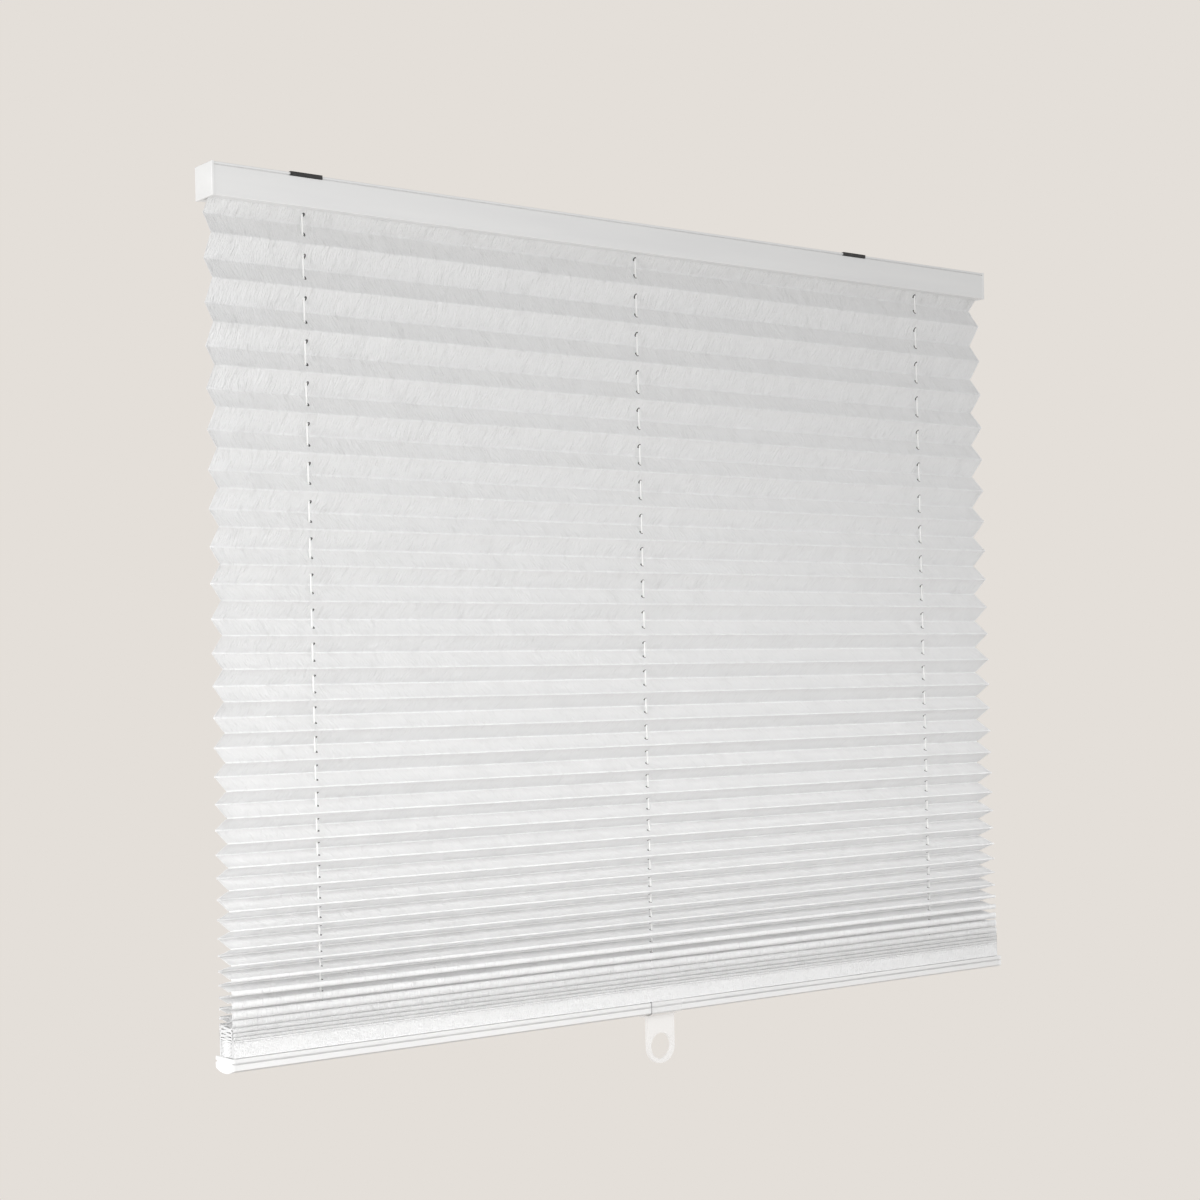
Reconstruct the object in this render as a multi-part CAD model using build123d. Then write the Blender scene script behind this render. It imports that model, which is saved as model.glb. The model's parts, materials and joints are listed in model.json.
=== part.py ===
from build123d import *
import math
import os

# Pleated blind with a sprung lift, shown partly lowered. Lengths in millimetres, angles in degrees.
# Origin: midway between the two bracket screws, on the brackets' top faces. +X runs along the rails,
# +Y to the window and +Z up, so the room side faces -Y.

# Whole blind
blind_width = 800.0
fabric_end_inset = 2.0
left_bracket_inset = 77.0
right_bracket_inset = 168.0
cut_overrun = 1.0
touch_gap = 0.05

# Brackets, bent from spring steel sheet
bracket_width = 26.5
bracket_sheet = 0.6
bracket_gap = 0.1
bracket_hook_reach = 0.9
bracket_screw_radius = 2.25
release_tongue_width = 9.0
release_tongue_drop = 5.0
release_tongue_flare = 2.0

# Head rail extrusion
head_depth = 25.0
head_height = 24.0
head_wall = 1.0
head_corner_radius = 0.6
lip_height = 1.6
lip_groove_height = 1.0
lip_groove_depth = 1.2
top_opening = 15.0

# Slots and strips that hold the fabric's edges in both rails
fabric_slot_width = 10.0
strip_channel_width = 18.0
strip_width = 17.2
strip_thickness = 1.2
strip_lift = 0.4
fabric_tuck = 3.5

# End caps of both rails
cap_thickness = 2.0
cap_proud = 0.25
cap_edge_bevel = 0.4
plug_length = 8.0
plug_wall = 1.2
plug_gap = 0.15

# Lift cords
cord_diameter = 1.4
cord_sides = 8
outer_cord_inset = 80.0
middle_cord_shift = -7.0
strip_hole = 2.6

# Cord guides
guide_length = 13.0
guide_width = 10.4
guide_base = 1.2
guide_wall = 1.5
guide_wall_length = 6.0
guide_pin_radius = 1.5
guide_pin_height = 3.6
guide_wall_cover = 1.0
guide_pin_gap = 0.02
nozzle_width = 4.6
nozzle_bore = 2.2
nozzle_gap = 0.2

# Spring motor
motor_shift = 150.0
motor_width = 22.4
motor_plate = 1.5
motor_end_margin = 1.4
wheel_height = 12.0
wheel_end_gap = 0.2
axle_radius = 2.0
axle_gap = 0.06
pillar_width = 2.8
pillar_edge_inset = 0.4

# Geared wheels of the motor
gear_teeth = 18
gear_module = 1.0
gear_thickness = 2.4
gear_addendum = 0.8
gear_dedendum = 1.05
gear_backlash = 0.3
gear_pressure_angle = 20.0
flange_radius = 8.0
flange_thickness = 1.0
split_flange_thickness = 0.8
spool_hub_radius = 5.0
winding_end_gap = 0.1

# Ribbon spring
drum_hub_radius = 4.5
spring_bore_radius = 4.8
output_coil_radius = 6.8
storage_coil_radius = 7.6
spring_end_gap = 0.5
spring_ribbon = 0.2

# Pleated fabric
panel_length = 20.0
fabric_thickness = 0.3
open_pleats = 33
stacked_pleats = 11
top_panel_angle = 54.75
stacked_panel_angle = 1.38
first_crease_drop = 9.0
fabric_hole = 2.6
fabric_seat_gap = 0.3

# Bottom rail extrusion
foot_depth = 26.0
foot_flange_height = 2.6
foot_waist_height = 1.4
foot_waist_depth = 2.4
foot_side_height = 4.0
foot_belly = 3.0
foot_wall = 1.2
foot_slot_lip = 1.0
anchor_radius = 3.0
anchor_sides = 6
anchor_height = 1.7
anchor_room = 0.1

# Clear pull handle
handle_shift = -4.0
clip_width = 32.0
clip_thickness = 1.2
clip_gap = 0.15
clip_hook_reach = 0.9
tab_width = 28.4
tab_thickness = 3.0
tab_forward = 4.0
ring_hole_radius = 10.7
tab_length = 43.3

# Places worked out from the sizes above
bracket_spacing = blind_width - left_bracket_inset - right_bracket_inset
rail_middle = (right_bracket_inset - left_bracket_inset) / 2
fabric_width = blind_width - 2 * fabric_end_inset
rail_top = -bracket_sheet
rail_bottom = rail_top - head_height
strip_channel_height = strip_thickness + strip_lift
floor_top = rail_bottom + 2 * head_wall + strip_channel_height
shoulder = rail_top - lip_height - lip_groove_height - head_wall
head_length = blind_width - 2 * cap_thickness
cord_radius = cord_diameter / 2
left_cord_x = rail_middle - blind_width / 2 + outer_cord_inset
middle_cord_x = rail_middle + middle_cord_shift
right_cord_x = rail_middle + blind_width / 2 - outer_cord_inset
turn_radius = guide_pin_radius + cord_radius + touch_gap
guide_pin_z = floor_top + guide_base + guide_pin_height
run_z = guide_pin_z + turn_radius
wheel_spacing = gear_teeth * gear_module
gear_tip_radius = wheel_spacing / 2 + gear_addendum
wheel_bottom = floor_top + motor_plate + wheel_end_gap
wheel_top = wheel_bottom + wheel_height
cover_bottom = wheel_top + wheel_end_gap
gear_top = wheel_bottom + gear_thickness
flange_bottom = wheel_top - flange_thickness
split_bottom = (gear_top + flange_bottom - split_flange_thickness) / 2
split_top = split_bottom + split_flange_thickness
winding_radius = spool_hub_radius + touch_gap + cord_diameter
run_tangent = winding_radius + cord_radius + touch_gap
wheel_x = [rail_middle + motor_shift + (i - 1.5) * wheel_spacing for i in range(4)]


def along_x(face, start, length):
    """A section drawn with Y across and Z up, carried along X from start."""
    return extrude(Plane.YZ.offset(start) * face, amount=length)


def rod_z(x, y, radius, low, high):
    """An upright round bar between two heights."""
    return Pos(x, y, (low + high) / 2) * Cylinder(radius, high - low)


def block(x, y, z):
    """A box given by its low and high limits on each axis."""
    size = [high - low for low, high in (x, y, z)]
    middle = [(high + low) / 2 for low, high in (x, y, z)]
    return Pos(*middle) * Box(*size)


def area(y, z):
    """A rectangle in a section, given by its limits."""
    return Pos((y[0] + y[1]) / 2, (z[0] + z[1]) / 2) * Rectangle(y[1] - y[0], z[1] - z[0])


def mirrored(half, low, high):
    """A rectangle in a section, as far to the front as to the back."""
    return area((-half, half), (low, high))


# Pleats

def crease_points():
    """The fabric's centre line in section, from the top strip to the bottom strip."""
    points = [(-fabric_tuck, rail_bottom + head_wall - fabric_thickness)]
    y = panel_length * math.cos(math.radians(top_panel_angle)) / 2
    z = rail_bottom - first_crease_drop
    points.append((y, z))
    step = -1
    for panel in range(2 * (open_pleats + stacked_pleats)):
        fade = 1 - panel / (2 * open_pleats)
        angle = math.radians(max(stacked_panel_angle, top_panel_angle * fade))
        y += step * panel_length * math.cos(angle)
        z -= panel_length * math.sin(angle)
        points.append((y, z))
        step = -step
    return points


creases = crease_points()
stack_end = creases[-1][1]
foot_top = stack_end - 2 * fabric_seat_gap
foot_strip_top = foot_top - foot_slot_lip
creases.append((fabric_slot_width / 2 - cut_overrun, foot_top + fabric_seat_gap))
creases.append((-fabric_tuck, foot_strip_top + fabric_thickness / 2))


def pleat_outline(points):
    """The folded sheet's outline: blunt folds outside, sharp ones inside."""
    rear, front = [], []
    for i, (y, z) in enumerate(points):
        near = [j for j in (i - 1, i + 1) if 0 <= j < len(points)]
        slopes = [abs((points[j][1] - z) / (points[j][0] - y)) for j in near]
        ways = [(points[j][0] - y) * (j - i) for j in near]
        half = fabric_thickness / 2 * math.hypot(1, sum(slopes) / len(slopes))
        folded = len(near) == 2 and ways[0] * ways[1] < 0
        if folded:
            way = 1 if ways[0] > 0 else -1
            inset = 2 * half / sum(slopes)
            inner = (y - way * inset, z + slopes[0] * inset - half)
            outer = [(y, z + half), (y, z - half)]
            rear += outer if way > 0 else [inner]
            front += [inner] if way > 0 else outer
        else:
            rearward = ways[0] > 0
            rear.append((y, z + half if rearward else z - half))
            front.append((y, z - half if rearward else z + half))
    return rear + front[::-1]


def pleated_fabric():
    outline = make_face(Polyline(*pleat_outline(creases), close=True))
    sheet = along_x(outline, rail_middle - fabric_width / 2, fabric_width)
    half = fabric_hole / 2
    depth = (foot_strip_top - cut_overrun, rail_bottom + head_wall + cut_overrun)
    for x in (left_cord_x, middle_cord_x, right_cord_x):
        sheet -= block((x - half, x + half), (-half, half), depth)
    return sheet


# Head rail and what closes it

def head_rail():
    half = head_depth / 2
    groove_top = rail_top - lip_height
    groove_bottom = groove_top - lip_groove_height
    section = Pos(0, (rail_top + rail_bottom) / 2) * RectangleRounded(
        head_depth, head_height, head_corner_radius)
    for side in (-1, 1):
        edge = sorted((side * (half - lip_groove_depth), side * (half + cut_overrun)))
        section -= area(edge, (groove_bottom, groove_top))
    section -= mirrored(half - head_wall, floor_top, shoulder)
    section -= mirrored(half - lip_groove_depth - head_wall, shoulder, rail_top - head_wall)
    section -= mirrored(top_opening / 2, rail_top - head_wall, rail_top + cut_overrun)
    channel = (rail_bottom + head_wall, rail_bottom + head_wall + strip_channel_height)
    section -= mirrored(strip_channel_width / 2, *channel)
    section -= mirrored(fabric_slot_width / 2, rail_bottom - cut_overrun, channel[0])
    rail = along_x(section, rail_middle - head_length / 2, head_length)
    half = nozzle_width / 2 + nozzle_gap
    floor = (channel[1] - cut_overrun, floor_top + cut_overrun)
    for x in (left_cord_x, middle_cord_x, right_cord_x):
        rail -= block((x - half, x + half), (-half, half), floor)
    return rail


def cap_with_plug(face, plug, side):
    """An end cap: an outer plate with a bevelled rim and a hollow plug into the rail."""
    inside = blind_width / 2 - cap_thickness
    plate = along_x(face, inside, cap_thickness)
    rim = plate.faces().sort_by(Axis.X)[-1].edges()
    plate = chamfer(rim, cap_edge_bevel)
    tube = plug - offset(plug, amount=-plug_wall, kind=Kind.INTERSECTION)
    cap = plate + along_x(tube, inside - plug_length, plug_length)
    if side < 0:
        cap = mirror(cap, about=Plane.YZ)
    return Pos(rail_middle, 0, 0) * cap


def head_cap(side):
    face = mirrored(head_depth / 2 + cap_proud, rail_bottom - cap_proud, rail_top + cap_proud)
    plug = mirrored(head_depth / 2 - head_wall - plug_gap, floor_top + plug_gap, shoulder - plug_gap)
    return cap_with_plug(face, plug, side)


def bent_sheet(points, thickness):
    """A section of sheet metal: the inner face's points and the same line set outwards."""
    outer = []
    for i, (y, z) in enumerate(points):
        normals = []
        for j in (i - 1, i):
            if 0 <= j < len(points) - 1:
                dy = points[j + 1][0] - points[j][0]
                dz = points[j + 1][1] - points[j][1]
                normals.append((-dz / math.hypot(dy, dz), dy / math.hypot(dy, dz)))
        total = (sum(n[0] for n in normals), sum(n[1] for n in normals))
        scale = thickness * len(normals) / (total[0] ** 2 + total[1] ** 2)
        outer.append((y + total[0] * scale, z + total[1] * scale))
    return make_face(Polyline(*points, *outer[::-1], close=True))


def bracket(x):
    """A clip that grips both lips of the head rail, with a tongue behind to release it."""
    half = head_depth / 2 + bracket_gap
    hook = half - bracket_gap - bracket_hook_reach
    low = rail_top - lip_height - bracket_gap
    path = [(-hook, low), (-half, low), (-half, rail_top), (half, rail_top), (half, low), (hook, low)]
    clip = along_x(bent_sheet(path, bracket_sheet), x - bracket_width / 2, bracket_width)
    window = (x - release_tongue_width / 2 - bracket_gap, x + release_tongue_width / 2 + bracket_gap)
    clip -= block(window, (hook - cut_overrun, half + bracket_sheet + cut_overrun),
                  (low - bracket_sheet - cut_overrun, low + bracket_gap))
    tip = (half + release_tongue_flare, low - release_tongue_drop)
    tongue = bent_sheet([(half, rail_top), (half, low), tip], bracket_sheet)
    clip += along_x(tongue, x - release_tongue_width / 2, release_tongue_width)
    return clip - rod_z(x, 0, bracket_screw_radius, rail_top - cut_overrun, cut_overrun)


def fabric_strip(bottom):
    """A flat strip along a rail's slot, with a hole for each cord."""
    length = head_length - 2 * plug_length
    top = bottom + strip_thickness
    strip = block((rail_middle - length / 2, rail_middle + length / 2),
                  (-strip_width / 2, strip_width / 2), (bottom, top))
    half = strip_hole / 2
    for x in (left_cord_x, middle_cord_x, right_cord_x):
        strip -= block((x - half, x + half), (-half, half), (bottom - cut_overrun, top + cut_overrun))
    return strip


# Cords and their guides. way is +1 where the run leaves the guide to the right, -1 to the left.

def cord_guide(x, way):
    pin_x = x + way * turn_radius
    base_top = floor_top + guide_base
    guide = block((pin_x - guide_length / 2, pin_x + guide_length / 2),
                  (-guide_width / 2, guide_width / 2), (floor_top, base_top))
    wall_top = guide_pin_z + guide_pin_radius + guide_wall_cover
    for side in (-1, 1):
        limits = sorted((side * (guide_width / 2 - guide_wall), side * guide_width / 2))
        guide += block((pin_x - guide_wall_length / 2, pin_x + guide_wall_length / 2), limits,
                       (floor_top, wall_top))
    nozzle_bottom = floor_top - head_wall
    half = nozzle_width / 2
    guide += block((x - half, x + half), (-half, half), (nozzle_bottom, base_top))
    half = nozzle_bore / 2
    through = (nozzle_bottom - cut_overrun, base_top + cut_overrun)
    guide -= block((x - half, x + half), (-half, half), through)
    bore = Rot(90, 0, 0) * Cylinder(guide_pin_radius + guide_pin_gap, guide_width + cut_overrun)
    return guide - Pos(pin_x, 0, guide_pin_z) * bore


def guide_pin(x, way):
    pin = Rot(90, 0, 0) * Cylinder(guide_pin_radius, guide_width)
    return Pos(x + way * turn_radius, 0, guide_pin_z) * pin


def cord_run(x, spool_x, spool_z):
    """Cord from its spool along the head rail, over the guide's pin and down to the rail's underside."""
    start = (spool_x, run_tangent, spool_z)
    corner = (x, 0, run_z)
    path = FilletPolyline(start, corner, (x, 0, rail_bottom), radius=turn_radius)
    section = Plane(path @ 0, z_dir=path % 0) * RegularPolygon(cord_radius, cord_sides)
    return sweep(section, path=path)


def lift_cord(x):
    low = foot_strip_top - strip_thickness
    return Pos(x, 0, low) * extrude(RegularPolygon(cord_radius, cord_sides), amount=rail_bottom - low)


# Spring motor

def gear(turned):
    """A spur gear with straight flanks, turned by a share of its tooth pitch."""
    pitch_radius = wheel_spacing / 2
    root_radius = pitch_radius - gear_dedendum
    half = (math.pi * gear_module - gear_backlash * 2) / 4
    lean = math.tan(math.radians(gear_pressure_angle))
    half_tip = (half - gear_addendum * lean) / gear_tip_radius
    half_root = (half + gear_dedendum * lean) / root_radius
    points = []
    for tooth in range(gear_teeth):
        middle = 2 * math.pi * (tooth + turned) / gear_teeth
        for radius, angle in ((root_radius, -half_root), (gear_tip_radius, -half_tip),
                              (gear_tip_radius, half_tip), (root_radius, half_root)):
            points.append((radius * math.cos(middle + angle), radius * math.sin(middle + angle)))
    return extrude(make_face(Polyline(*points, close=True)), amount=gear_thickness)


def wheel(i, hub_radius, split):
    """A geared wheel on its axle: gear, hub and top flange, and a flange between two cords."""
    x = wheel_x[i]
    body = Pos(x, 0, wheel_bottom) * gear((i % 2) / 2)
    body += rod_z(x, 0, hub_radius, gear_top, flange_bottom)
    body += rod_z(x, 0, flange_radius, flange_bottom, wheel_top)
    if split:
        body += rod_z(x, 0, flange_radius, split_bottom, split_top)
    return body - rod_z(x, 0, axle_radius + axle_gap, wheel_bottom - cut_overrun, wheel_top + cut_overrun)


def winding(x, low, high):
    """Cord wound on a spool, as one closed ring."""
    low, high = low + winding_end_gap, high - winding_end_gap
    hollow = rod_z(x, 0, spool_hub_radius + touch_gap, low - cut_overrun, high + cut_overrun)
    return rod_z(x, 0, winding_radius, low, high) - hollow


def motor_plan():
    length = 3 * wheel_spacing + 2 * (gear_tip_radius + motor_end_margin)
    return Pos(rail_middle + motor_shift, 0) * Rectangle(length, motor_width)


def pillar_places():
    reach = motor_width / 2 - pillar_edge_inset - pillar_width / 2
    middles = [(wheel_x[i] + wheel_x[i + 1]) / 2 for i in (0, 2)]
    return [(x, y) for x in middles for y in (-reach, reach)]


def motor_base():
    base = Pos(0, 0, floor_top) * extrude(motor_plan(), amount=motor_plate)
    half = pillar_width / 2
    for x in wheel_x:
        base += rod_z(x, 0, axle_radius, floor_top, cover_bottom + motor_plate)
    for x, y in pillar_places():
        base += block((x - half, x + half), (y - half, y + half), (floor_top, cover_bottom))
    return base


def motor_cover():
    cover = Pos(0, 0, cover_bottom) * extrude(motor_plan(), amount=motor_plate)
    limits = (cover_bottom - cut_overrun, cover_bottom + motor_plate + cut_overrun)
    for x in wheel_x:
        cover -= rod_z(x, 0, axle_radius + axle_gap, *limits)
    return cover


def drive_spring():
    """The ribbon spring: a coil on each drum and the crossing stretch between them."""
    low, high = gear_top + spring_end_gap, flange_bottom - spring_end_gap
    coils = ((wheel_x[1], output_coil_radius), (wheel_x[2], storage_coil_radius))
    lean = math.acos((output_coil_radius + storage_coil_radius) / wheel_spacing)
    out = (math.cos(lean), math.sin(lean))
    ends = [(coils[0][0] + coils[0][1] * out[0], coils[0][1] * out[1]),
            (coils[1][0] - coils[1][1] * out[0], -coils[1][1] * out[1])]
    half = spring_ribbon / 2
    corners = [(x + side * half * out[0], y + side * half * out[1])
               for side, pair in ((1, ends), (-1, ends[::-1])) for x, y in pair]
    ribbon = make_face(Polyline(*corners, close=True))
    spring = Pos(0, 0, low) * extrude(ribbon, amount=high - low)
    for x, radius in coils:
        spring += rod_z(x, 0, radius, low, high)
    for x, radius in coils:
        spring -= rod_z(x, 0, spring_bore_radius, low - cut_overrun, high + cut_overrun)
    return spring


# Bottom rail and handle

def foot_body(top):
    """The bottom rail in section from a given height down, at full depth, with its round underside."""
    half = foot_depth / 2
    low = foot_top - foot_flange_height - foot_waist_height - foot_side_height
    sides = Polyline((-half, low), (-half, top), (half, top), (half, low))
    return make_face(sides + ThreePointArc((half, low), (0, low - foot_belly), (-half, low)))


def foot_outline():
    waist = foot_depth / 2 - foot_waist_depth
    waist_top = foot_top - foot_flange_height
    waist_bottom = waist_top - foot_waist_height
    flange = mirrored(foot_depth / 2, waist_top, foot_top)
    neck = mirrored(waist, waist_bottom - touch_gap, waist_top + touch_gap)
    return flange + neck + foot_body(waist_bottom)


def foot_chamber(gap):
    """The hollow in the bottom rail's lower body, or a plug that fits in it."""
    body = foot_body(foot_top - foot_flange_height - foot_waist_height)
    inner = offset(body, amount=-foot_wall - gap, kind=Kind.INTERSECTION)
    reach = foot_depth / 2 - foot_waist_depth - foot_wall - gap
    return inner & mirrored(reach, foot_top - foot_depth, foot_top)


def bottom_rail():
    section = foot_outline()
    channel_top = foot_top - foot_slot_lip
    channel_bottom = channel_top - strip_thickness - anchor_height - anchor_room
    section -= mirrored(strip_channel_width / 2, channel_bottom, channel_top)
    section -= mirrored(fabric_slot_width / 2, channel_top, foot_top + cut_overrun)
    section -= foot_chamber(0)
    return along_x(section, rail_middle - head_length / 2, head_length)


def foot_cap(side):
    face = offset(foot_outline(), amount=cap_proud, kind=Kind.INTERSECTION)
    return cap_with_plug(face, foot_chamber(plug_gap), side)


def cord_anchor(x):
    """A ferrule on the cord's end, bearing on the underside of the bottom strip."""
    low = foot_strip_top - strip_thickness - anchor_height
    return Pos(x, 0, low) * extrude(RegularPolygon(anchor_radius, anchor_sides), amount=anchor_height)


def pull_handle():
    """A springy clip round the bottom rail, hooked over its top edges, and a tab with a finger ring."""
    x = rail_middle + handle_shift
    body = foot_body(foot_top)
    inside = offset(body, amount=clip_gap, kind=Kind.INTERSECTION)
    clip = offset(body, amount=clip_gap + clip_thickness, kind=Kind.INTERSECTION) - inside
    clip -= mirrored(foot_depth / 2 - clip_hook_reach, foot_top, foot_top + clip_thickness + cut_overrun)
    handle = along_x(clip, x - clip_width / 2, clip_width)
    tab_top = foot_top - foot_flange_height - foot_waist_height - foot_side_height
    ring_z = tab_top - tab_length + tab_width / 2
    tab = Pos(x, ring_z) * Circle(tab_width / 2)
    tab += area((x - tab_width / 2, x + tab_width / 2), (ring_z, tab_top))
    tab -= Pos(x, ring_z) * Circle(ring_hole_radius)
    plate = extrude(Plane.XZ.offset(tab_forward) * tab, amount=tab_thickness / 2, both=True)
    plate -= along_x(inside, x - clip_width, 2 * clip_width)
    return handle + plate


guides = {"left": (left_cord_x, 1), "middle": (middle_cord_x, 1), "right": (right_cord_x, -1)}
upper_zone = (split_top, flange_bottom)
lower_zone = (gear_top, split_bottom)
whole_zone = (gear_top, flange_bottom)
runs = {
    "left": (left_cord_x, wheel_x[0], sum(upper_zone) / 2),
    "middle": (middle_cord_x, wheel_x[0], sum(lower_zone) / 2),
    "right": (right_cord_x, wheel_x[3], sum(whole_zone) / 2),
}

nodes = {
    "head_rail": head_rail(),
    "left_end_cap": head_cap(-1),
    "right_end_cap": head_cap(1),
    "left_bracket": bracket(-bracket_spacing / 2),
    "right_bracket": bracket(bracket_spacing / 2),
    "top_fabric_strip": fabric_strip(rail_bottom + head_wall),
    "motor_base": motor_base(),
    "motor_cover": motor_cover(),
    "left_spool": wheel(0, spool_hub_radius, True),
    "output_drum": wheel(1, drum_hub_radius, False),
    "storage_drum": wheel(2, drum_hub_radius, False),
    "right_spool": wheel(3, spool_hub_radius, False),
    "drive_spring": drive_spring(),
    "left_spool_cord": Compound([winding(wheel_x[0], *upper_zone), winding(wheel_x[0], *lower_zone)]),
    "right_spool_cord": winding(wheel_x[3], *whole_zone),
    "pleated_fabric": pleated_fabric(),
    "bottom_rail": bottom_rail(),
    "bottom_left_cap": foot_cap(-1),
    "bottom_right_cap": foot_cap(1),
    "bottom_fabric_strip": fabric_strip(foot_strip_top - strip_thickness),
    "pull_handle": pull_handle(),
}
for name, (x, way) in guides.items():
    nodes[name + "_cord_guide"] = cord_guide(x, way)
    nodes[name + "_guide_pin"] = guide_pin(x, way)
    nodes[name + "_cord_run"] = cord_run(*runs[name])
    nodes[name + "_lift_cord"] = lift_cord(x)
    nodes[name + "_cord_anchor"] = cord_anchor(x)

os.makedirs("parts", exist_ok=True)
for name, shape in nodes.items():
    export_step(shape, f"parts/{name}.step")
print(f"bottom rail top {foot_top:.2f}, cord turn radius {turn_radius:.2f}, spool radius {run_tangent:.2f}")
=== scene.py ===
import json
import math

import bpy
import numpy as np
from mathutils import Matrix, Vector


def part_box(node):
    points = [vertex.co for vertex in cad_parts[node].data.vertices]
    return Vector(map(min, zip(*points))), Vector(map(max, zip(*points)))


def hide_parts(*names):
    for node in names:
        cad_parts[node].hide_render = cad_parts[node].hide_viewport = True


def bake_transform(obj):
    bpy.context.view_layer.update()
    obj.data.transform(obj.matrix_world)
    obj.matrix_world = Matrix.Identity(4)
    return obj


# The pleated blind's looks, in metres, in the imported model's frame: +X along the rails, +Y to the window, +Z up.

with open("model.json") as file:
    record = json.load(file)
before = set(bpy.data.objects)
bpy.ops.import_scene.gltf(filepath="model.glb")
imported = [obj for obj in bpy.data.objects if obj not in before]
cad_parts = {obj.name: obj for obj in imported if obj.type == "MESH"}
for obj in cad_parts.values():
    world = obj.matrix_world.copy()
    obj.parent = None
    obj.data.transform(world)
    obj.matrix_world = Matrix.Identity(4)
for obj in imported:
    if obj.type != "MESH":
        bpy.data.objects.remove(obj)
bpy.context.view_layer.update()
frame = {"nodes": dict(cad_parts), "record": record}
nodes = frame["nodes"]

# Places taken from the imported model
CORD_NODES = ("left_lift_cord", "middle_lift_cord", "right_lift_cord")
cord_x = [(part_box(n)[0][0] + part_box(n)[1][0]) / 2 for n in CORD_NODES]
fabric_low, fabric_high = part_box("pleated_fabric")
handle_low, handle_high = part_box("pull_handle")
foot_low, foot_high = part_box("bottom_rail")
foot_bottom, foot_top = foot_low[2], foot_high[2]
rail_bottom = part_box("head_rail")[0][2]
strip_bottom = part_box("top_fabric_strip")[0][2]
foot_strip_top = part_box("bottom_fabric_strip")[1][2]
cloth_height = rail_bottom - foot_top

# How far the bottom rail goes up and down from the height shown
RAISE = 0.564
LOWER = 0.952

# Pleats, the same rule as the solid's
PANEL_LENGTH = 0.020
OPEN_PLEATS = 33
STACKED_PLEATS = 11
TOP_PANEL_ANGLE = math.radians(54.75)
STACKED_PANEL_ANGLE = math.radians(1.38)
FIRST_CREASE_DROP = 0.009
FABRIC_THICKNESS = 0.0003
FABRIC_TUCK = 0.0035
SEAT_GAP = 0.0003
SEAT_REACH = 0.004

# The last open panels are more even than the solid's: their angles fall by pairs, in shares of their mean
SLACK_PANELS = 8
SLACK_FIRST_SHARE = 1.4
SLACK_SHARE_FALL = 0.8

# Folds: crisp on open pleats, round and full on slack ones, and fuller at the front than at the back
FOLD_ROWS = 5
OPEN_FOLD_RADIUS = 0.00075
SLACK_FOLD_RADIUS = 0.00750
CRISP_HALF_PITCH = 0.0062
BACK_FOLD_SHARE = 0.35
FOLD_FLATNESS = 0.5
FOLD_FILL = 0.975
NECK = 0.0015
NECK_RATIO = 2.2
SEAT_FOLD_EXTRA = 0.0002

# Unevenness of the creases and panels
CREASE_WOBBLE = 0.00030
STACK_WOBBLE = 0.3
PANEL_SWELL = 0.00035
FULL_SWELL_DROP = 0.008
WAVE_LENGTHS = (0.31, 0.17, 0.083, 0.041)
CREASE_SEED = 1000
PANEL_SEED = 2000

# Cloth mesh: columns, holes at the cords, and the cut edges at both ends
COLUMN_STEP = 0.0080
HOLE_HALF = 0.0008
NEAR_HOLE = 1.01 * HOLE_HALF
HOLE_WIDTH = 2.01 * HOLE_HALF
CUT_EDGE = 0.00022
CUT_FILL = 0.92
STACK_DROP = 0.0020
EDGE_STEP = 0.00003

# Cloth material: light let through, none below one share of the cloth's height and all above another, and the
# painted shade of the holes: near-black dots at the cords
CLOTH_THROUGH = 0.32
CLOSED_BELOW = 0.0165
OPEN_ABOVE = 0.024
HOLE_SHADE_RADIUS = 0.0014
HOLE_SHADE_SHIFTS = (0.0007, -0.0007, -0.0007)
HOLE_SHADE_COLOUR = (0.06, 0.06, 0.063, 1)

# Handle material: the clip is clearer than the tab, apart from its left edge, which carries painted shade
TAB_ALPHA = 0.34
CLIP_CLEARER = 0.20
CLIP_SHADED_EDGE_DENSER = 0.45
SIDE_FACING = 0.9

# Cords
CORD_RADIUS = 0.0007
CORD_SIDES = 14
CORD_RINGS = 120

# Camera at the photograph's viewing angle
CAMERA_PLACE = (-1.0797, -1.3879, -0.3865)
CAMERA_YAW = math.radians(37.651)
CAMERA_PITCH = math.radians(0.168)
CAMERA_ROLL = math.radians(-1.398)
CAMERA_LENS = 65.0
CAMERA_SENSOR = 36.0
CAMERA_SHIFT_Y = 0.075

# Studio. Each lamp has its name, place, target, width and height, power, and spread in degrees.
BACKGROUND = (0.776, 0.737, 0.694, 1.0)
FLOOR_Z = -1.72
FLOOR_RADIUS = 2.2
FLOOR_SIDES = 96
FLOOR_FADE = (0.55, 0.98)
BOUNCES = 32
WORLD_STRENGTH = 0.54
LAMPS = (
    ("front", (-0.46, -1.10, -0.42), (-0.34, 0.0, -0.42), (1.3, 0.9), 4.6, 180),
    ("high", (-0.10, -0.85, -0.06), (0.0, 0.0, -0.58), (1.5, 0.3), 0.9, 72),
    ("back", (0.0, 0.85, -0.70), (-0.05, 0.0, -0.70), (1.6, 0.3), 1.7, 64),
    ("side", (-1.60, -0.30, -0.52), (-0.35, 0.0, -0.52), (0.7, 0.9), 11.0, 180),
)


# Materials

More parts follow.
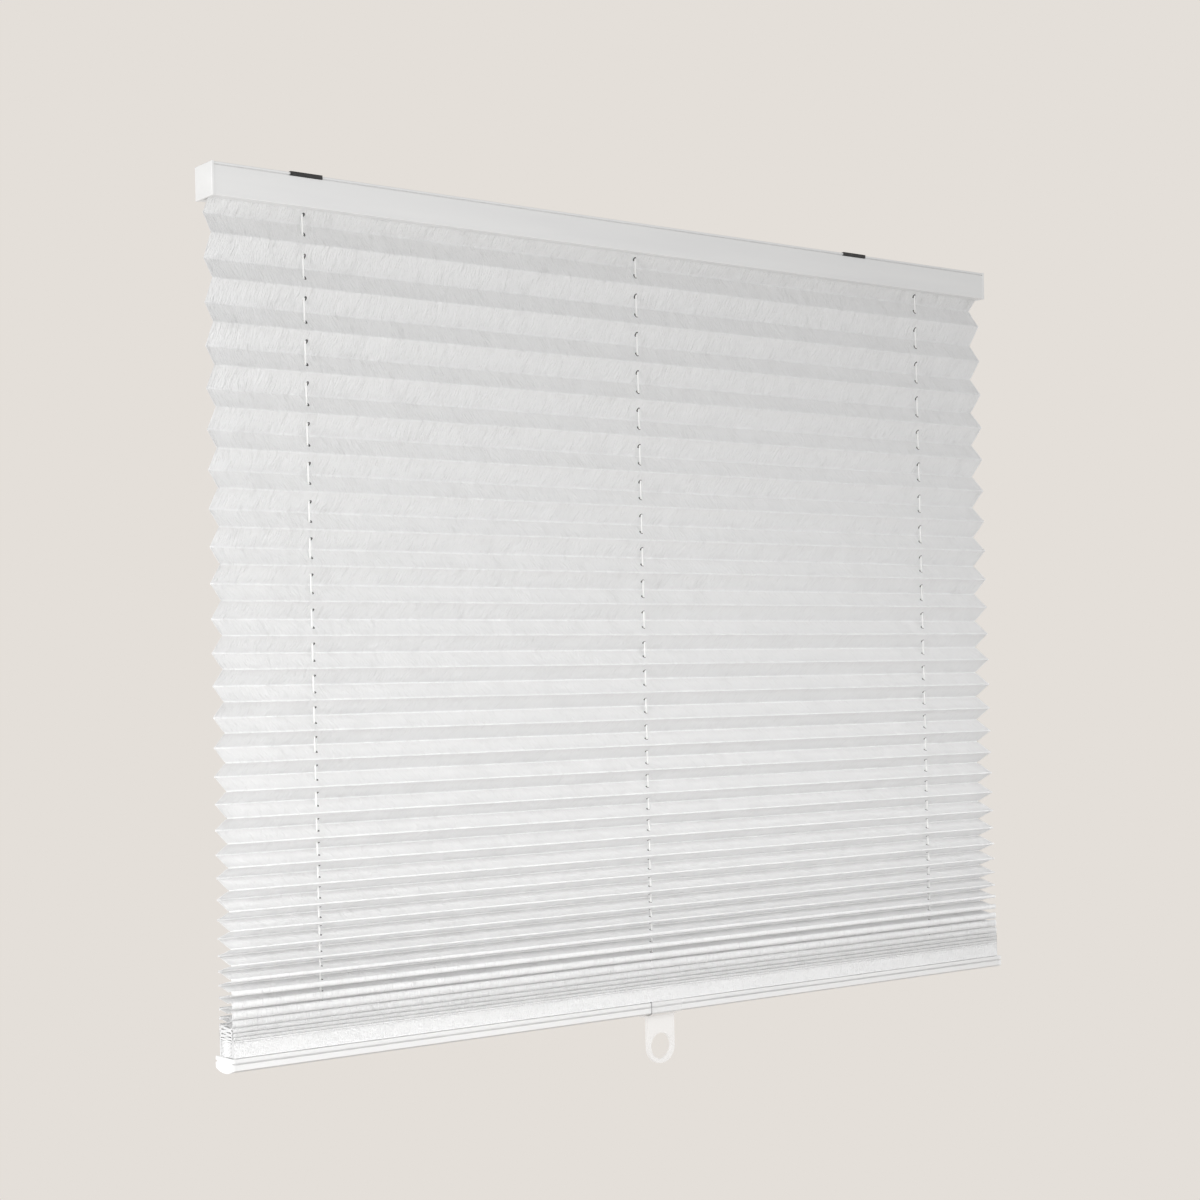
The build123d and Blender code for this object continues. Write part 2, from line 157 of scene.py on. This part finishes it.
class Shader:
    """A new material with its Principled node, and short ways to add and join nodes."""

    def __init__(self, name):
        self.material = bpy.data.materials.new(name)
        self.material.use_nodes = True
        self.tree = self.material.node_tree
        self.bsdf = self.tree.nodes["Principled BSDF"]

    def add(self, kind, **values):
        node = self.tree.nodes.new(kind)
        for key, value in values.items():
            if key in node.inputs:
                node.inputs[key].default_value = value
            else:
                setattr(node, key, value)
        return node

    def join(self, out, into):
        self.tree.links.new(out, into)

    def set(self, **values):
        for key, value in values.items():
            self.bsdf.inputs[key.replace("_", " ")].default_value = value

    def colour(self, out):
        self.join(out, self.bsdf.inputs["Base Color"])

    def roughness(self, out):
        self.join(out, self.bsdf.inputs["Roughness"])

    def math(self, operation, first, second):
        """A Math node on two values, each a number or a socket."""
        node = self.add("ShaderNodeMath", operation=operation)
        for socket, value in zip(node.inputs, (first, second)):
            if isinstance(value, (int, float)):
                socket.default_value = value
            else:
                self.join(value, socket)
        return node.outputs[0]

    def split(self, vector):
        """A vector's X, Y and Z sockets."""
        node = self.add("ShaderNodeSeparateXYZ")
        self.join(vector, node.inputs[0])
        return node.outputs["X"], node.outputs["Y"], node.outputs["Z"]

    def stretched(self, vector, scale, turn=0.0):
        """Coordinates turned about Z and scaled on each axis."""
        node = self.add("ShaderNodeMapping", Rotation=(0, 0, turn), Scale=scale)
        self.join(vector, node.inputs["Vector"])
        return node.outputs["Vector"]

    def noise(self, vector, scale, detail=2.0, roughness=0.5):
        node = self.add("ShaderNodeTexNoise", Scale=scale, Detail=detail, Roughness=roughness)
        self.join(vector, node.inputs["Vector"])
        return node.outputs["Fac"]

    def ramp(self, value, stops):
        """A colour ramp from (place, grey or colour) pairs."""
        node = self.add("ShaderNodeValToRGB")
        self.join(value, node.inputs["Fac"])
        marks = node.color_ramp.elements
        while len(marks) < len(stops):
            marks.new(0.5)
        for mark, (place, colour) in zip(marks, stops):
            grey = isinstance(colour, (int, float))
            mark.position = place
            mark.color = (colour, colour, colour, 1) if grey else (*colour, 1)
        return node.outputs["Color"]

    def bump(self, height, strength, distance):
        node = self.add("ShaderNodeBump", Strength=strength, Distance=distance)
        self.join(height, node.inputs["Height"])
        self.join(node.outputs["Normal"], self.bsdf.inputs["Normal"])
        return node.outputs["Normal"]

    def object_vector(self):
        return self.add("ShaderNodeTexCoord").outputs["Object"]


def crinkled_fabric():
    """White polyester with fine crushed ridges that run mostly across the pleats, painted lighter as a painted
    highlight, and painted shade as dark dots at the punched holes.
    """
    s = Shader("crinkled_fabric")
    s.set(Roughness=0.78, Sheen_Weight=0.25, Sheen_Roughness=0.5, Specular_IOR_Level=0.25)
    flat = s.add("ShaderNodeUVMap", uv_map="flat").outputs["UV"]
    warp = s.add("ShaderNodeTexNoise", Scale=38.0, Detail=2.0)
    s.join(flat, warp.inputs["Vector"])
    moved = s.add("ShaderNodeVectorMath", operation="MULTIPLY_ADD")
    s.join(warp.outputs["Color"], moved.inputs[0])
    moved.inputs[1].default_value = (0.007, 0.004, 0)
    s.join(flat, moved.inputs[2])
    crushed = moved.outputs["Vector"]
    right = s.noise(s.stretched(crushed, (520, 78, 1), math.radians(12)), 1.0, 3.0, 0.62)
    left = s.noise(s.stretched(crushed, (430, 60, 1), math.radians(-19)), 1.0, 3.0, 0.62)
    steep = s.noise(s.stretched(crushed, (420, 46, 1), math.radians(38)), 1.0, 1.0)
    grain = s.noise(s.stretched(flat, (2600, 2200, 1)), 1.0, 1.0)
    right_ridge = s.ramp(right, ((0.40, 0.0), (0.52, 1.0), (0.64, 0.1)))
    left_ridge = s.ramp(left, ((0.40, 0.0), (0.53, 1.0), (0.66, 0.1)))
    bold_ridge = s.ramp(steep, ((0.62, 0.0), (0.68, 1.0), (0.74, 0.2)))
    ridges = s.math("ADD", s.math("MULTIPLY", right_ridge, 0.5), s.math("MULTIPLY", left_ridge, 0.5))
    ridges = s.math("ADD", ridges, s.math("MULTIPLY", bold_ridge, 0.8))
    normal = s.bump(s.math("ADD", ridges, s.math("MULTIPLY", grain, 0.2)), 0.75, 0.0009)
    # Painted highlight: the colour runs from 0.94 between the ridges to 1.0 on them, where the ridges catch the
    # light
    cloth = s.ramp(ridges, ((0.0, (0.94, 0.94, 0.94)), (0.45, (0.99, 0.99, 0.99)), (1.0, (1.0, 1.0, 1.0))))

    place_x, place_y, place_z = s.split(s.object_vector())
    across = s.math("MULTIPLY", place_y, place_y)
    # Painted shade: a near-black dot round each hole, shifted to one side of its cord, stands in for the shadow
    # inside the hole
    nearest = None
    for x, shift in zip(cord_x, HOLE_SHADE_SHIFTS):
        along = s.math("SUBTRACT", place_x, x + shift)
        squared = s.math("MULTIPLY", along, along)
        nearest = squared if nearest is None else s.math("MINIMUM", nearest, squared)
    reach = s.math("SQRT", s.math("ADD", nearest, across), 0.0)
    mix = s.add("ShaderNodeMix", data_type="RGBA")
    s.join(s.math("LESS_THAN", reach, HOLE_SHADE_RADIUS), mix.inputs["Factor"])
    s.join(cloth, mix.inputs[6])
    mix.inputs[7].default_value = HOLE_SHADE_COLOUR
    s.colour(mix.outputs[2])

    through = s.add("ShaderNodeBsdfTranslucent")
    s.join(mix.outputs[2], through.inputs["Color"])
    s.join(normal, through.inputs["Normal"])
    both = s.add("ShaderNodeMixShader")
    above = s.math("DIVIDE", s.math("SUBTRACT", place_z, foot_top), cloth_height)
    s.join(s.ramp(above, ((CLOSED_BELOW, 0.0), (OPEN_ABOVE, CLOTH_THROUGH))), both.inputs[0])
    s.join(s.bsdf.outputs[0], both.inputs[1])
    s.join(through.outputs[0], both.inputs[2])
    s.join(both.outputs[0], s.tree.nodes["Material Output"].inputs["Surface"])
    return s.material


def painted_aluminium():
    """Satin white paint on an extrusion: faint die lines along the rail and a little orange peel."""
    s = Shader("painted_aluminium")
    s.set(Specular_IOR_Level=0.45)
    place = s.object_vector()
    lines = s.noise(s.stretched(place, (2, 1700, 1700)), 1.0, 2.0)
    peel = s.noise(place, 900.0, 1.0)
    s.bump(s.math("ADD", s.math("MULTIPLY", lines, 0.5), peel), 0.06, 0.0002)
    tone = s.noise(s.stretched(place, (6, 60, 60)), 1.0, 2.0)
    s.colour(s.ramp(tone, ((0.3, (0.80, 0.80, 0.80)), (0.7, (0.84, 0.84, 0.835)))))
    s.roughness(s.ramp(lines, ((0.3, 0.34), (0.7, 0.44))))
    return s.material


def moulded_plastic(name, dark, light, rough, grain_scale):
    """Moulded plastic with a fine eroded grain and slow changes of tone."""
    s = Shader(name)
    s.set(Specular_IOR_Level=0.45)
    place = s.object_vector()
    grain = s.noise(place, grain_scale, 2.0)
    s.bump(grain, 0.10, 0.0002)
    flow = s.noise(place, 60.0, 3.0)
    s.colour(s.ramp(flow, ((0.3, dark), (0.7, light))))
    s.roughness(s.ramp(grain, ((0.3, rough - 0.06), (0.7, rough + 0.06))))
    return s.material


def black_steel():
    """Black coated sheet steel, with a slightly mottled satin sheen."""
    s = Shader("black_steel")
    s.set(Specular_IOR_Level=0.5)
    mottle = s.noise(s.object_vector(), 420.0, 4.0)
    s.bump(mottle, 0.12, 0.0002)
    s.colour(s.ramp(mottle, ((0.3, (0.012, 0.012, 0.013)), (0.75, (0.035, 0.035, 0.036)))))
    s.roughness(s.ramp(mottle, ((0.3, 0.30), (0.7, 0.48))))
    return s.material


def bright_steel():
    """Drawn or rolled steel, brushed along its length."""
    s = Shader("bright_steel")
    s.set(Metallic=1.0)
    brush = s.noise(s.stretched(s.object_vector(), (3000, 200, 3000)), 1.0, 3.0)
    s.bump(brush, 0.08, 0.0001)
    s.colour(s.ramp(brush, ((0.3, (0.50, 0.50, 0.51)), (0.7, (0.66, 0.66, 0.67)))))
    s.roughness(s.ramp(brush, ((0.3, 0.22), (0.7, 0.38))))
    return s.material


def clear_plastic():
    """Clear moulded plastic, milky in the tab, with faint flow marks and painted shade on the clip's left side
    faces, standing in for the dark edge that light bending in the plastic gives.
    """
    s = Shader("clear_plastic")
    s.set(IOR=1.49)
    place = s.object_vector()
    place_x, _, place_z = s.split(place)
    face_x, _, _ = s.split(s.add("ShaderNodeNewGeometry").outputs["True Normal"])
    clip = s.math("GREATER_THAN", place_z, foot_bottom)
    side = s.math("GREATER_THAN", s.math("ABSOLUTE", face_x, 0.0), SIDE_FACING)
    left = s.math("LESS_THAN", place_x, (handle_low[0] + handle_high[0]) / 2)
    # Painted shade: the clip's left side faces get a dark grey colour and more opacity
    dark = s.math("MULTIPLY", clip, s.math("MULTIPLY", side, left))
    s.colour(s.ramp(dark, ((0.0, (0.95, 0.95, 0.955)), (1.0, (0.16, 0.16, 0.17)))))
    alpha = s.math("SUBTRACT", TAB_ALPHA, s.math("MULTIPLY", clip, CLIP_CLEARER))
    alpha = s.math("ADD", alpha, s.math("MULTIPLY", dark, CLIP_SHADED_EDGE_DENSER))
    s.join(alpha, s.bsdf.inputs["Alpha"])
    flow = s.noise(s.stretched(place, (90, 90, 25)), 1.0, 2.0)
    s.bump(flow, 0.05, 0.0004)
    s.roughness(s.ramp(flow, ((0.3, 0.10), (0.7, 0.22))))
    return s.material


def braided_cord():
    """White braided polyester cord: two sets of strands that cross."""
    s = Shader("braided_cord")
    s.set(Roughness=0.7, Sheen_Weight=0.2, Specular_IOR_Level=0.3)
    place = s.object_vector()
    strands = []
    for turn in (math.radians(45), math.radians(-45)):
        wave = s.add("ShaderNodeTexWave", Scale=700.0, Distortion=1.5, Detail=1.0, bands_direction="DIAGONAL")
        s.join(s.stretched(place, (1, 1, 1), turn), wave.inputs["Vector"])
        strands.append(wave.outputs["Fac"])
    weave = s.math("MAXIMUM", *strands)
    s.bump(weave, 0.5, 0.0002)
    # Painted shade: the hollows between the strands are painted darker than the strands' crests
    s.colour(s.ramp(weave, ((0.0, (0.72, 0.72, 0.71)), (0.8, (0.92, 0.92, 0.91)))))
    return s.material


# Pleated sheet

def crease_line():
    """The cloth's line in section, (y, z) from the top strip to the bottom strip."""
    angles = [max(STACKED_PANEL_ANGLE, TOP_PANEL_ANGLE * (1 - panel / (2 * OPEN_PLEATS)))
              for panel in range(2 * (OPEN_PLEATS + STACKED_PLEATS))]
    slack = slice(2 * OPEN_PLEATS - SLACK_PANELS, 2 * OPEN_PLEATS)
    mean = sum(angles[slack]) / SLACK_PANELS
    angles[slack] = [mean * (SLACK_FIRST_SHARE - SLACK_SHARE_FALL * (k // 2) / (SLACK_PANELS // 2 - 1))
                     for k in range(SLACK_PANELS)]
    y = PANEL_LENGTH * math.cos(TOP_PANEL_ANGLE) / 2
    z = rail_bottom - FIRST_CREASE_DROP
    line = [(-FABRIC_TUCK, strip_bottom - FABRIC_THICKNESS), (y, z)]
    step = -1
    for angle in angles:
        y += step * PANEL_LENGTH * math.cos(angle)
        z -= PANEL_LENGTH * math.sin(angle)
        line.append((y, z))
        step = -step
    line.append((SEAT_REACH, foot_top + SEAT_GAP))
    line.append((-FABRIC_TUCK, foot_strip_top + FABRIC_THICKNESS / 2))
    return line


def fold_radii(line):
    """How round each fold is: crisp where the pleats are open, as full as there is room where they are slack."""
    radii = [0.0]
    for before, at, after in zip(line, line[1:], line[2:]):
        half_pitch = (before[1] - after[1]) / 2
        fullest = SLACK_FOLD_RADIUS * (BACK_FOLD_SHARE if at[0] > 0 else 1.0)
        slack = max(OPEN_FOLD_RADIUS, fullest * (1 - half_pitch / CRISP_HALF_PITCH))
        radii.append(min(FOLD_FILL * half_pitch, slack))
    radii[-3] += SEAT_FOLD_EXTRA
    return [*radii, 0.0]


def folded_line(line, radii):
    """The section's line with its creases rounded, as rows of (y, z, crease before, share of the panel)."""
    last = len(line) - 1
    necks = [max(NECK, NECK_RATIO * radius) for radius in radii]
    rows = [(*line[0], 0, 0.0)]
    for i, (start, end) in enumerate(zip(line, line[1:])):
        length = math.dist(start, end)
        shares = [necks[i] / length, 1 - necks[i + 1] / length]
        if start[0] * end[0] < 0 and 0 < i < last - 2:
            shares[1:1] = sorted((d - start[0]) / (end[0] - start[0]) for d in (-HOLE_HALF, HOLE_HALF))
        for share in shares:
            rows.append((start[0] + share * (end[0] - start[0]), start[1] + share * (end[1] - start[1]), i, share))
        if i == last - 1:
            rows.append((*end, i, 1.0))
            continue
        after = line[i + 2]
        before_slope = math.asin((start[1] - end[1]) / length)
        after_slope = math.asin((end[1] - after[1]) / math.dist(end, after))
        radius = radii[i + 1]
        sunk = SEAT_FOLD_EXTRA if i + 1 == last - 3 else 0.0
        out = math.copysign(1, end[0] - start[0])
        for turn in np.linspace(math.pi / 2 - before_slope, after_slope - math.pi / 2, FOLD_ROWS):
            y = end[0] + out * FOLD_FLATNESS * radius * (math.cos(turn) - 1)
            rows.append((y, end[1] - sunk + radius * math.sin(turn), i, 1.0))
    return rows


def follow_shares(line, radii, rows):
    """How far each row follows the bottom rail: evenly, with folds that fill the stack when it is raised."""
    squash = 1 - RAISE / cloth_height
    follow = []
    for _, z, i, share in rows:
        even = (rail_bottom - z) / cloth_height
        if share == 1.0 and i + 2 < len(line) and radii[i + 1] > 0:
            crease = line[i + 1][1]
            room = FOLD_FILL * squash * (line[i][1] - line[i + 2][1]) / 2
            fullness = min(1 + RAISE / LOWER, room / radii[i + 1])
            even = (rail_bottom - crease) / cloth_height + (fullness - 1) / RAISE * (z - crease)
        follow.append(even)
    return np.array(follow)


def column_places():
    """Places along the rails for the cloth's columns, with extra ones at the sides of the punched holes."""
    low, high = fabric_low[0], fabric_high[0]
    extra = [x + d for x in cord_x for d in (-HOLE_HALF, HOLE_HALF)]
    even = np.linspace(low, high, int((high - low) / COLUMN_STEP))
    clear = [x for x in even if min(abs(x - c) for c in cord_x) > 2 * HOLE_HALF]
    return np.array(sorted([*clear, *extra]))


def slow_wave(x, row, seed):
    """A smooth wandering value from -1 to 1 along the rails, different on each crease or panel."""
    rng = np.random.default_rng(seed + row)
    total = np.zeros_like(x)
    for length in WAVE_LENGTHS:
        total += length ** 0.5 * np.sin(2 * math.pi * (x / length + rng.random()))
    return total / np.abs(total).max()


def sheet_places(line, rows, normal, x):
    """The sheet's points, row by row, with creases that wander and panels that swell a little."""
    wander = [slow_wave(x, i, CREASE_SEED) for i in range(len(line))]
    swell = [slow_wave(x, i, PANEL_SEED) for i in range(len(line))]
    places = []
    for (y, z, i, share), (normal_y, normal_z) in zip(rows, normal):
        room = min(1.0, abs(line[i + 1][1] - line[i][1]) / FULL_SWELL_DROP)
        held = 0.0 if i in (0, len(line) - 2) else 1.0
        freedom = STACK_WOBBLE + (1 - STACK_WOBBLE) * room
        wobble = ((1 - share) * wander[i] + share * wander[i + 1]) * CREASE_WOBBLE * held * freedom
        bulge = swell[i] * PANEL_SWELL * room * held * math.sin(math.pi * share)
        places.append(np.stack([x, y + wobble + bulge * normal_y, z + bulge * normal_z], axis=1))
    return np.concatenate(places)


def sheet_faces(rows, x):
    """The sheet's quads, left out where the cords pass."""
    count = len(x)
    at_cord = np.min(np.abs(x[:, None] - np.array(cord_x)[None, :]), axis=1)
    hole_columns = [c for c in range(count - 1)
                    if (at_cord[c] + at_cord[c + 1]) / 2 < NEAR_HOLE and x[c + 1] - x[c] < HOLE_WIDTH]
    faces = []
    for r in range(len(rows) - 1):
        holed = max(abs(rows[r][0]), abs(rows[r + 1][0])) < NEAR_HOLE
        for c in range(count - 1):
            if not (holed and c in hole_columns):
                first = r * count + c
                faces.append((first, first + 1, first + count + 1, first + count))
    return faces


def edge_offsets(line, rows, normal):
    """Half the cut edge's thickness at each row: the cloth's own, or most of the drop where panels are stacked."""
    drop = np.array([abs(line[i + 1][1] - line[i][1]) for _, _, i, _ in rows])
    stacked = drop < STACK_DROP
    edge = np.where(stacked, CUT_FILL * drop, CUT_EDGE)
    upright = np.where(stacked[:, None], [[0.0, 1.0]], normal)
    return np.concatenate([np.zeros((len(rows), 1)), upright * edge[:, None] / 2], axis=1)


def pleated_sheet():
    """The crinkled cloth in one sheet, with a hole in each panel at the cords and a thin face on each cut edge."""
    line = crease_line()
    radii = fold_radii(line)
    rows = folded_line(line, radii)
    x = column_places()
    count, levels = len(x), len(rows)
    section = np.array([(y, z) for y, z, _, _ in rows])
    run = np.diff(section, axis=0)
    flat_v = np.concatenate([[0], np.cumsum(np.hypot(run[:, 0], run[:, 1]))])
    slope = np.gradient(section, axis=0)
    normal = np.stack([slope[:, 1], -slope[:, 0]], axis=1) / np.hypot(slope[:, 0], slope[:, 1])[:, None]
    places = sheet_places(line, rows, normal, x)
    faces = sheet_faces(rows, x)
    flat = np.stack([np.tile(x, levels), np.repeat(flat_v, count)], axis=1)
    sheet_points, sheet_quads = len(places), len(faces)

    offset = edge_offsets(line, rows, normal)
    apart = np.array([[EDGE_STEP * (i % 2), 0, 0] for _, _, i, _ in rows])
    for column in (0, count - 1):
        end = slice(column, sheet_points, count)
        middle = places[end] + apart
        base = len(places)
        places = np.concatenate([places, middle - offset, middle + offset])
        flat = np.concatenate([flat, flat[end], flat[end]])
        faces += [(r, r + 1, r + 1 + levels, r + levels) for r in range(base, base + levels - 1)]

    mesh = bpy.data.meshes.new("fabric_sheet")
    mesh.from_pydata(places.tolist(), [], faces)
    corner = np.zeros(len(mesh.loops), np.int32)
    mesh.loops.foreach_get("vertex_index", corner)
    uv = mesh.uv_layers.new(name="flat")
    uv.data.foreach_set("uv", flat[corner].astype(np.float32).ravel())
    mesh.polygons.foreach_set("use_smooth", np.arange(len(faces)) < sheet_quads)
    sheet = add_object("fabric_sheet", mesh, crinkled_fabric())
    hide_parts("pleated_fabric")
    row = np.concatenate([np.repeat(np.arange(levels), count), np.tile(np.arange(levels), 4)])
    aside = places[:, 2] - section[row, 1]
    stretch_between_rails(sheet, follow_shares(line, radii, rows)[row] - aside / cloth_height)


def add_object(name, mesh, material):
    obj = bpy.data.objects.new(name, mesh)
    bpy.context.scene.collection.objects.link(obj)
    mesh.materials.append(material)
    return obj


def stretch_between_rails(obj, shares):
    """Bakes the piece's place into its points and clips each point's share to between 0 and 1; nothing uses the
    shares, so the piece does not stretch.
    """
    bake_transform(obj)
    shares = np.clip(shares, 0, 1).astype(np.float32)


# Lift cords

def lift_cord(node, x, material):
    """A round braided cord in place of a solid one, from the head rail to the bottom rail."""
    low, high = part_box(node)
    turns = np.linspace(0, 2 * math.pi, CORD_SIDES, endpoint=False)
    heights = np.linspace(high[2], low[2], CORD_RINGS)
    ring = np.stack([x + CORD_RADIUS * np.cos(turns), CORD_RADIUS * np.sin(turns)], axis=1)
    places = [(px, py, z) for z in heights for px, py in ring]
    faces = []
    for r in range(CORD_RINGS - 1):
        for c in range(CORD_SIDES):
            after = (c + 1) % CORD_SIDES
            low_row, high_row = (r + 1) * CORD_SIDES, r * CORD_SIDES
            faces.append((high_row + c, low_row + c, low_row + after, high_row + after))
    mesh = bpy.data.meshes.new(node.replace("lift_cord", "braided_cord"))
    mesh.from_pydata(places, [], faces)
    mesh.polygons.foreach_set("use_smooth", np.ones(len(mesh.polygons), bool))
    cord = add_object(mesh.name, mesh, material)
    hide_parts(node)
    z = np.array([v.co.z for v in mesh.vertices])
    stretch_between_rails(cord, (rail_bottom - z) / cloth_height)


# Finishes of the solid pieces

def finish_nodes(cord_material):
    """Gives each solid piece the material of its slot."""
    by_slot = {
        "white_aluminium": painted_aluminium(),
        "white_plastic": moulded_plastic("white_plastic", (0.83, 0.83, 0.825), (0.88, 0.88, 0.875), 0.42, 2600.0),
        "grey_plastic": moulded_plastic("grey_plastic", (0.50, 0.51, 0.52), (0.58, 0.59, 0.60), 0.5, 2200.0),
        "wheel_plastic": moulded_plastic("wheel_plastic", (0.70, 0.70, 0.68), (0.78, 0.78, 0.76), 0.38, 1800.0),
        "black_steel": black_steel(),
        "spring_steel": bright_steel(),
        "clear_plastic": clear_plastic(),
        "white_cord": cord_material,
    }
    for part in frame["record"]["subparts"]:
        material = by_slot.get(part["material_slot"])
        for slot in nodes[part["node"]].material_slots:
            slot.material = material or slot.material


# Studio

def soft_lamp(name, place, target, size, power, spread):
    """A soft box, wide and tall as size says, that the camera doesn't see."""
    lamp = bpy.data.lights.new(name, "AREA")
    lamp.shape = "RECTANGLE"
    lamp.size, lamp.size_y = size
    lamp.energy = power
    lamp.spread = math.radians(spread)
    obj = bpy.data.objects.new(name, lamp)
    obj.location = place
    obj.rotation_euler = (Vector(target) - Vector(place)).to_track_quat("-Z", "Y").to_euler()
    obj.visible_camera = False
    bpy.context.scene.collection.objects.link(obj)


def studio():
    """Soft lamps, and a world that shows its colour straight or through clear pieces and lights cloth white."""
    scene = bpy.context.scene
    scene.view_settings.view_transform = "Standard"
    scene.cycles.max_bounces = BOUNCES
    scene.cycles.diffuse_bounces = BOUNCES
    scene.cycles.transmission_bounces = BOUNCES
    for lamp in LAMPS:
        soft_lamp(*lamp)
    world = bpy.data.worlds.new("studio")
    scene.world = world
    world.use_nodes = True
    tree = world.node_tree

    def math_node(operation, first, second):
        node = tree.nodes.new("ShaderNodeMath")
        node.operation = operation
        node.use_clamp = True
        tree.links.new(first, node.inputs[0])
        tree.links.new(second, node.inputs[1])
        return node.outputs[0]

    shown = tree.nodes["Background"]
    shown.inputs["Color"].default_value = BACKGROUND
    light = tree.nodes.new("ShaderNodeBackground")
    light.inputs["Color"].default_value = (1, 1, 1, 1)
    light.inputs["Strength"].default_value = WORLD_STRENGTH
    path = tree.nodes.new("ShaderNodeLightPath").outputs
    clear = math_node("MAXIMUM", path["Is Glossy Ray"], path["Is Transmission Ray"])
    straight = math_node("MAXIMUM", path["Is Camera Ray"], clear)
    direct = math_node("SUBTRACT", straight, path["Is Diffuse Ray"])
    mix = tree.nodes.new("ShaderNodeMixShader")
    tree.links.new(direct, mix.inputs[0])
    tree.links.new(light.outputs[0], mix.inputs[1])
    tree.links.new(shown.outputs[0], mix.inputs[2])
    tree.links.new(mix.outputs[0], tree.nodes["World Output"].inputs["Surface"])


def floor():
    """A pale round floor well below the lowest the blind hangs, fading out at its rim."""
    s = Shader("floor")
    s.set(Base_Color=BACKGROUND, Roughness=0.9)
    length = s.add("ShaderNodeVectorMath", operation="LENGTH")
    s.join(s.object_vector(), length.inputs[0])
    share = s.math("DIVIDE", length.outputs["Value"], FLOOR_RADIUS)
    s.join(s.ramp(share, ((FLOOR_FADE[0], 1.0), (FLOOR_FADE[1], 0.0))), s.bsdf.inputs["Alpha"])
    turns = np.linspace(0, 2 * math.pi, FLOOR_SIDES, endpoint=False)
    rim = [(FLOOR_RADIUS * math.cos(t), FLOOR_RADIUS * math.sin(t), 0) for t in turns]
    mesh = bpy.data.meshes.new("floor")
    mesh.from_pydata(rim, [], [tuple(range(len(rim)))])
    disc = add_object("floor", mesh, s.material)
    disc.location = (0, 0, FLOOR_Z)


def camera():
    """A camera at the photograph's viewing angle, turned by yaw, pitch and roll."""
    forward = Vector((math.sin(CAMERA_YAW) * math.cos(CAMERA_PITCH),
                      math.cos(CAMERA_YAW) * math.cos(CAMERA_PITCH), math.sin(CAMERA_PITCH)))
    level = Vector((math.cos(CAMERA_YAW), -math.sin(CAMERA_YAW), 0))
    upright = level.cross(forward)
    right = math.cos(CAMERA_ROLL) * level + math.sin(CAMERA_ROLL) * upright
    up = right.cross(forward)
    turn = Matrix((right, up, -forward)).transposed()
    lens = bpy.data.cameras.new("camera")
    lens.lens = CAMERA_LENS
    lens.sensor_width = CAMERA_SENSOR
    lens.shift_y = CAMERA_SHIFT_Y
    obj = bpy.data.objects.new("camera", lens)
    obj.matrix_world = Matrix.Translation(CAMERA_PLACE) @ turn.to_4x4()
    bpy.context.scene.collection.objects.link(obj)
    bpy.context.scene.camera = obj


cord_material = braided_cord()
pleated_sheet()
for cord_node, cord_place in zip(CORD_NODES, cord_x):
    lift_cord(cord_node, cord_place, cord_material)
finish_nodes(cord_material)
studio()
floor()
camera()
